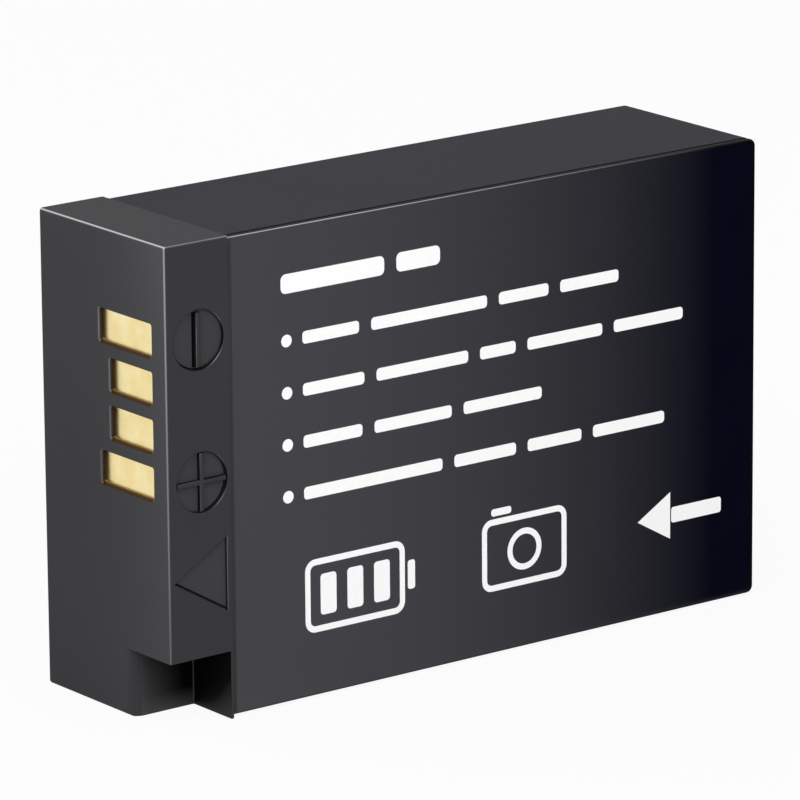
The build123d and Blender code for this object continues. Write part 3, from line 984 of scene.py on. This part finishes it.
@dataclass
class ContactEnd:
    """Moulded case, with polarity marks and an insertion arrow engraved beside its contacts."""

    bar: float = 0.34 * MM
    minus_bar: float = 3.66 * MM
    plus_bar: float = 3.90 * MM
    field: float = 2.02 * MM
    field_depth: float = 0.30 * MM
    round_corners: int = 96
    marks: tuple[Mark, ...] = (
        Mark(
            (-22.09 * MM, 25.87 * MM), field, round_corners, field_depth, (0.06 * MM, 0.12 * MM),
            ((bar, minus_bar),),
        ),
        Mark(
            (-21.95 * MM, 16.38 * MM), field, round_corners, field_depth, (-0.11 * MM, 0.07 * MM),
            ((bar, plus_bar), (plus_bar, bar)),
        ),
        Mark(
            (-21.44 * MM, 9.93 * MM), 2.78 * MM, 3, 0.24 * MM, (0.065 * MM, 0.113 * MM),
            turn=QUARTER_TURN, stretch=1.03,
        ),
    )
    slot: float = 0.16 * MM
    groove_share: float = 0.99
    groove_depth: float = 0.44 * MM
    margin: float = 0.2 * MM
    rim: float = 0.08 * MM
    rim_steps: int = 2
    rim_span: Pair = (0.4 * MM, 4.8 * MM)
    rim_level: float = 5.0 * MM
    rim_margin: float = 2.0 * MM
    contacts: tuple[str, ...] = (
        "contact_negative", "contact_signal_upper", "contact_signal_lower", "contact_positive"
    )

    def _face(self, place: Pair, margins: int = 1) -> Vector:
        """Point some margins in front of the face that is engraved."""
        return Vector((place[0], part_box("rear_case")[0].y - margins * self.margin, place[1]))

    @staticmethod
    def _outline(mark: Mark, middle: Vector) -> bpy.types.Object:
        """Flat outline of a mark round a point."""
        outline = flat_polygon("mark_cutter", middle, mark.radius, mark.corners, mark.turn)
        if mark.stretch != 1.0:
            with editing(outline):
                bpy.ops.transform.resize(value=(1.0, 1.0, mark.stretch), center_override=middle)
        return outline

    def _less(self, cutter: bpy.types.Object, rest: bpy.types.Object, depth: float) -> None:
        """Takes an outline that lies two margins in front of the face out of a cutter of a depth."""
        thicken(rest, 3.0 * self.margin + depth)
        cut_away(cutter, rest)

    def _field(self, mark: Mark) -> bpy.types.Object:
        """Cutter for a mark, which leaves its bars standing."""
        cutter = self._outline(mark, self._face(mark.centre))
        thicken(cutter, self.margin + mark.depth)
        for size in mark.bars:
            self._less(cutter, flat_plate("standing_bar", self._face(mark.centre, 2), size), mark.depth)
        return cutter

    def _groove(self, mark: Mark) -> bpy.types.Object:
        """Cutter for a groove along one side of a mark's floor: its outline less the same outline moved. It
        reaches below the slot depth of the case's finish, which paints its floor as a shadow line.
        """
        middle = self._face(mark.centre)
        groove = self._outline(mark, middle)
        with editing(groove):
            bpy.ops.transform.resize(value=(self.groove_share,) * 3, center_override=middle)
        thicken(groove, self.margin + self.groove_depth)
        moved = self._face(mark.centre, 2) + Vector((mark.groove[0], 0.0, mark.groove[1]))
        self._less(groove, self._outline(mark, moved), self.groove_depth)
        return groove

    def _slot(self) -> bpy.types.Object:
        """Cutter for the narrow slot along the bar of the minus mark, deep enough that the case's finish paints
        it as the bar's shadow.
        """
        minus = self.marks[0].centre
        place = (minus[0] - (self.bar + self.slot) / 2, minus[1])
        cutter = flat_plate("slot_cutter", self._face(place), (self.slot, self.minus_bar))
        thicken(cutter, self.margin + self.field_depth + self.slot)
        return cutter

    def _soften(self, case: bpy.types.Object) -> None:
        """Bevels the rims of the marks, which lie in the front of the contact end, away from its edges."""
        low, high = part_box("rear_case")
        near, far = [low.x + place for place in self.rim_span]
        bottom = low.z + self.rim_level
        top = high.z - self.rim_margin
        mesh = case.data
        in_front = [abs(vertex.co.y - low.y) < MERGE_DISTANCE for vertex in mesh.vertices]
        walls = set()
        for face in mesh.polygons:
            if abs(face.normal.y) < 0.5:
                walls.update(face.edge_keys)

        def on_rim(edge: bpy.types.MeshEdge) -> bool:
            """Whether an edge lies in the front face, on a wall of a mark."""
            ends = [mesh.vertices[index].co for index in edge.vertices]
            if not all(in_front[index] for index in edge.vertices) or edge.key not in walls:
                return False
            return all(near < end.x < far and bottom < end.z < top for end in ends)

        rims = [edge.index for edge in mesh.edges if on_rim(edge)]
        with editing(case):
            bpy.ops.mesh.select_mode(type="EDGE")
            bpy.ops.mesh.select_all(action="DESELECT")
            bpy.ops.object.mode_set(mode="OBJECT")
            for index in rims:
                mesh.edges[index].select = True
            bpy.ops.object.mode_set(mode="EDIT")
            bpy.ops.mesh.bevel(offset=self.rim, segments=self.rim_steps, affect="EDGES")
        log.info("bevelled %d edges of the marks", len(rims))

    def build(self) -> list[bpy.types.Object]:
        """Engraves a copy of the case and smooths copies of the contacts.

        Returns:
            The case and the contacts.
        """
        case = copy_of("rear_case", "case_engraved")
        minus, plus, arrow = [self._field(mark) for mark in self.marks]
        grooves = [self._groove(mark) for mark in self.marks]
        for cutter in (minus, self._slot(), plus, arrow, *grooves):
            cut_away(case, cutter)
        self._soften(case)
        plates = [copy_of(node, node + "_plate") for node in self.contacts]
        for piece in [case, *plates]:
            smooth(piece)
        return [case, *plates]

    def dress(self, pieces: list[bpy.types.Object]) -> None:
        """Finishes the case and the contacts.

        Args:
            pieces: What build gave.
        """
        fasten(pieces[0], CASE_PLASTIC, "rear_case")
        for piece, node in zip(pieces[1:], self.contacts):
            fasten(piece, GOLD_PLATE, node)


@dataclass
class LabelledCover:
    """Front cover with its film, and plain white shapes printed on the film."""

    ink: float = 0.015 * MM
    left: float = -15.4 * MM
    heading: tuple[float, ...] = (8.4, 3.6)
    heading_height: float = 1.3 * MM
    heading_level: float = 28.4 * MM
    rows: tuple[tuple[float, ...], ...] = (
        (4.6, 9.6, 4.2, 5.0), (5.0, 7.6, 3.0, 6.4, 6.0), (4.8, 6.4, 6.6), (11.4, 5.2, 4.6, 6.2)
    )
    row_height: float = 0.85 * MM
    row_level: float = 24.6 * MM
    row_pitch: float = 3.5 * MM
    word_gap: float = 1.0 * MM
    dot: float = 0.42 * MM
    indent: float = 1.7 * MM
    bar_round: float = 0.3
    line: float = 0.42 * MM
    sign_level: float = 7.0 * MM
    sign_places: Triple = (-9.6 * MM, 4.6 * MM, 17.2 * MM)
    sign_corner: float = 0.8 * MM
    small_corner: float = 0.2 * MM
    battery: Pair = (8.2 * MM, 5.0 * MM)
    nub: Pair = (0.6 * MM, 2.0 * MM)
    nub_gap: float = 0.25 * MM
    charge: Pair = (1.3 * MM, 2.8 * MM)
    charge_corner: float = 0.25 * MM
    charge_pitch: float = 2.2 * MM
    camera: Pair = (7.216 * MM, 5.0 * MM)
    lens: float = 1.45 * MM
    lens_corners: int = 64
    button: Pair = (1.7 * MM, 0.5 * MM)
    button_offset: float = -1.968 * MM
    button_gap: float = 0.2 * MM
    head: float = 1.9 * MM
    head_offset: float = -0.9 * MM
    shaft: Pair = (4.4 * MM, 1.1 * MM)
    shaft_offset: float = 2.35 * MM
    dot_corners: int = 32

    def _at(self, x: float, z: float) -> Vector:
        """Point on the face of the film."""
        return Vector((x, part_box("front_label")[0].y, z))

    def _bars(
        self, start: float, level: float, height: float, words: tuple[float, ...]
    ) -> list[bpy.types.Object]:
        """Row of bars.

        Args:
            start: Left end of the row.
            level: Height of its middle.
            height: Height of the bars.
            words: Lengths of the bars, in millimetres.

        Returns:
            The bars, still flat.
        """
        bars = []
        for word in words:
            length = word * MM
            middle = self._at(start + length / 2, level)
            bars.append(flat_plate("bar", middle, (length, height), self.bar_round * height))
            start += length + self.word_gap
        return bars

    def _battery_sign(self, x: float) -> list[bpy.types.Object]:
        """Outline of a battery with three charge bars."""
        outline = flat_plate("sign", self._at(x, self.sign_level), self.battery, self.sign_corner)
        hollow(outline, self.line)
        nub = self._at(x + (self.battery[0] + self.nub[0]) / 2 + self.nub_gap, self.sign_level)
        parts = [outline, flat_plate("nub", nub, self.nub, self.small_corner)]
        for step in (-1, 0, 1):
            middle = self._at(x + step * self.charge_pitch, self.sign_level)
            parts.append(flat_plate("charge", middle, self.charge, self.charge_corner))
        return parts

    def _camera_sign(self, x: float) -> list[bpy.types.Object]:
        """Outline of a camera: body, lens and shutter button."""
        middle = self._at(x, self.sign_level)
        body = flat_plate("sign", middle, self.camera, self.sign_corner)
        lens = flat_polygon("lens", middle, self.lens, self.lens_corners)
        for piece in (body, lens):
            hollow(piece, self.line)
        level = self.sign_level + (self.camera[1] + self.button[1]) / 2 + self.button_gap
        button = flat_plate("button", self._at(x + self.button_offset, level), self.button, self.small_corner)
        return [body, lens, button]

    def _arrow_sign(self, x: float) -> list[bpy.types.Object]:
        """Arrow towards the contact end."""
        head = flat_polygon("head", self._at(x + self.head_offset, self.sign_level), self.head, 3, QUARTER_TURN)
        shaft = self._at(x + self.shaft_offset, self.sign_level)
        return [head, flat_plate("shaft", shaft, self.shaft, self.small_corner)]

    def _print(self) -> dict[str, list[bpy.types.Object]]:
        """Printed shapes by the name of the piece that they make up, still flat."""
        rows = []
        for index, words in enumerate(self.rows):
            level = self.row_level - index * self.row_pitch
            rows.append(flat_polygon("dot", self._at(self.left + self.dot, level), self.dot, self.dot_corners))
            rows += self._bars(self.left + self.indent, level, self.row_height, words)
        return {
            "print_heading": self._bars(self.left, self.heading_level, self.heading_height, self.heading),
            "print_rows": rows,
            "print_battery_sign": self._battery_sign(self.sign_places[0]),
            "print_camera_sign": self._camera_sign(self.sign_places[1]),
            "print_arrow_sign": self._arrow_sign(self.sign_places[2]),
        }

    def build(self) -> dict[str, bpy.types.Object]:
        """Makes the smooth cover and film, and the printed shapes.

        Returns:
            The pieces by name.
        """
        pieces = {}
        for node, name in (("front_cover", "cover_smooth"), ("front_label", "label_smooth")):
            pieces[name] = copy_of(node, name)
            smooth(pieces[name])
        for name, shapes in self._print().items():
            pieces[name] = joined(shapes, name)
            thicken(pieces[name], self.ink, True)
        return pieces

    def dress(self, pieces: dict[str, bpy.types.Object]) -> None:
        """Finishes the cover, the film and the print.

        Args:
            pieces: What build gave.
        """
        fasten(pieces.pop("cover_smooth"), COVER_PLASTIC, "front_cover")
        fasten(pieces.pop("label_smooth"), LABEL_FILM, "front_label")
        for piece in pieces.values():
            fasten(piece, PRINT_INK)


@dataclass
class BoardAssembly:
    """Circuit board and its chips, inside the contact end."""

    board: str = "circuit_board"
    leaded: tuple[tuple[str, float], ...] = (
        ("switch_transistor", 1.5 * MM), ("protection_chip", 0.8 * MM), ("data_chip", 0.8 * MM)
    )
    ceramic: Colour = (0.30, 0.20, 0.11)
    bare: tuple[tuple[str, Slot, Colour], ...] = (
        ("temperature_sensor", Slot.CERAMIC, ceramic),
        ("chip_resistors", Slot.CHIP, (0.016, 0.016, 0.018)),
        ("chip_capacitors", Slot.CERAMIC, ceramic),
    )
    cap: float = 0.28 * MM

    def dress(self) -> None:
        """Finishes the board, and each chip with its tinned leads or ends."""
        wear(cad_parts[self.board], BOARD_MASK)
        for node, half in self.leaded:
            wear_chip(node, half)
        for node, slot, body in self.bare:
            low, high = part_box(node)
            wear_chip(node, (high.y - low.y) / 2 - self.cap, slot, body)
        log.info("dressed the board and its chips")


@dataclass
class CellStack:
    """Two cells with their terminals, strips, tapes and pads, inside the case."""

    cells: tuple[str, ...] = ("cell_front", "cell_rear")
    strips: tuple[str, ...] = ("series_link", "positive_strip", "negative_strip", "negative_lead")
    tapes: tuple[str, ...] = ("cell_tape", "rear_tape")
    pads: tuple[str, ...] = ("cover_pad", "end_pad")

    def dress(self) -> None:
        """Finishes every node of the stack."""
        for cell in self.cells:
            wear(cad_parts[cell + "_can"], CELL_CAN)
            wear(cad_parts[cell + "_gasket"], GASKET)
            wear(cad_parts[cell + "_terminal"], NICKEL_SHEET)
        for nodes, finish in ((self.strips, NICKEL_SHEET), (self.tapes, CELL_TAPE), (self.pads, FOAM_SHEET)):
            for node in nodes:
                wear(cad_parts[node], finish)
        wear(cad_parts["lid_insulator"], LID_PAPER)
        low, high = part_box("thermal_cutoff")
        wear_chip("thermal_cutoff", high.y - low.y)
        log.info("dressed the cells and what lies round them")


# Studio


@dataclass(frozen=True)
class Lamp:
    """Soft box."""

    name: str
    place: Triple
    width: float
    height: float
    power: float
    colour: Colour = (1.0, 1.0, 1.0)

    def build(self, target: Vector) -> None:
        """Adds the lamp, turned towards a point."""
        data = bpy.data.lights.new(self.name, "AREA")
        data.shape = "RECTANGLE"
        data.size = self.width
        data.size_y = self.height
        data.energy = self.power
        data.color = self.colour
        lamp = bpy.data.objects.new(self.name, data)
        lamp.location = self.place
        lamp.rotation_mode = "QUATERNION"
        lamp.rotation_quaternion = (target - lamp.location).to_track_quat("-Z", "Y")
        lamp.visible_camera = False
        bpy.context.scene.collection.objects.link(lamp)


@dataclass
class Studio:
    """Pale floor, soft light and the camera."""

    floor_size: float = 6.0
    floor_shade: Colour = (0.70, 0.70, 0.70)
    floor_glow: float = 0.925
    ambient: float = 0.55
    aim: Triple = (-0.29 * MM, 0.37 * MM, 16.62 * MM)
    azimuth: float = -37.334
    elevation: float = 15.179
    roll: float = -0.448
    distance: float = 457.46 * MM
    lens: float = 307.24
    sensor: float = 36.0
    clip: Pair = (0.01, 20.0)
    flag_place: float = -7.6 * MM
    flag_span: Pair = (-18.4 * MM, 21.6 * MM)
    flag_fade: float = 1.68
    flag_size: Pair = (100.0 * MM, 60.0 * MM)
    lamps: tuple[Lamp, ...] = (
        Lamp("key_lamp", (-0.42, -0.26, 0.46), 0.40, 0.40, 2.3),
        Lamp("fill_lamp", (0.05, -0.62, 0.34), 0.45, 0.35, 1.6),
        Lamp("rim_lamp", (-0.22, 0.46, 0.34), 0.30, 0.20, 0.9),
    )

    @staticmethod
    def _seen(shader: Shader) -> Term:
        """1 for rays from the camera and from glossy or clear surfaces, and 0 for light that spreads."""
        rays = shader.node("ShaderNodeLightPath").outputs
        seen = Term(shader, rays["Is Camera Ray"])
        for name in ("Is Glossy Ray", "Is Transmission Ray"):
            seen = seen.greatest(Term(shader, rays[name]))
        return seen

    def _world(self) -> None:
        """White surroundings that light the part softly."""
        world = bpy.data.worlds.new("studio_world")
        bpy.context.scene.world = world
        shader = Shader(world)
        strength = self.ambient + (1.0 - self.ambient) * self._seen(shader)
        sky = shader.node("ShaderNodeBackground", {}, {"Color": LUMINOUS_WHITE, "Strength": strength})
        shader.node("ShaderNodeOutputWorld", {}, {"Surface": sky.outputs[0]})

    def _floor(self) -> None:
        """Pale floor that keeps the part's shadow."""
        bpy.ops.mesh.primitive_plane_add(size=self.floor_size)
        floor = new_piece("floor")
        material = bpy.data.materials.new("studio_floor")
        shader = Shader(material)
        matt = shader.node("ShaderNodeBsdfDiffuse", {}, {"Color": (*self.floor_shade, 1.0)})
        glow = shader.node("ShaderNodeEmission", {}, {"Color": LUMINOUS_WHITE, "Strength": 1.0})
        shader.mixture(self.floor_glow * self._seen(shader), matt, glow)
        floor.data.materials.append(material)

    def _flag(self) -> None:
        """Dark card, clear at its near end, that keeps the floor's glare off the far end of the label."""
        flag = flat_plate("flag", Vector((0.0, self.flag_place, self.flag_size[1] / 2)), self.flag_size)
        for rays in ("camera", "diffuse", "transmission", "volume_scatter", "shadow"):
            setattr(flag, "visible_" + rays, False)
        material = bpy.data.materials.new("studio_flag")
        shader = Shader(material)
        share = shader.along(Axis.LENGTH).climb(*self.flag_span) ** self.flag_fade
        clear = shader.node("ShaderNodeBsdfTransparent")
        dark = shader.node("ShaderNodeBsdfDiffuse", {}, {"Color": (0.0, 0.0, 0.0, 1.0)})
        shader.mixture(share, clear, dark)
        flag.data.materials.append(material)

    def _camera(self) -> None:
        """Long lens, at the height and the turn from which the part is seen."""
        turn = math.radians(self.azimuth)
        rise = math.radians(self.elevation)
        lean = math.radians(self.roll)
        back = Vector((math.sin(turn) * math.cos(rise), -math.cos(turn) * math.cos(rise), math.sin(rise)))
        level = Vector((0.0, 0.0, 1.0)).cross(back).normalized()
        upright = back.cross(level)
        right = level * math.cos(lean) + upright * math.sin(lean)
        data = bpy.data.cameras.new("camera")
        data.lens = self.lens
        data.sensor_width = self.sensor
        data.clip_start, data.clip_end = self.clip
        camera = bpy.data.objects.new("camera", data)
        turned = Matrix((right, back.cross(right), back)).transposed().to_4x4()
        camera.matrix_world = Matrix.Translation(Vector(self.aim) + back * self.distance) @ turned
        bpy.context.scene.collection.objects.link(camera)
        bpy.context.scene.camera = camera

    def build(self) -> None:
        """Adds the surroundings, the floor, the card, the lamps and the camera."""
        bpy.context.scene.view_settings.view_transform = "Standard"
        self._world()
        self._floor()
        self._flag()
        for lamp in self.lamps:
            lamp.build(Vector(self.aim))
        self._camera()
        log.info("studio: floor, %d lamps and the camera", len(self.lamps))


def main() -> None:
    """Builds and dresses the part, then sets up the studio."""
    logging.basicConfig(level=logging.INFO, format="%(message)s")
    contact_end = ContactEnd()
    contact_end.dress(contact_end.build())
    cover = LabelledCover()
    cover.dress(cover.build())
    BoardAssembly().dress()
    CellStack().dress()
    Studio().build()


if __name__ == "__main__":
    main()
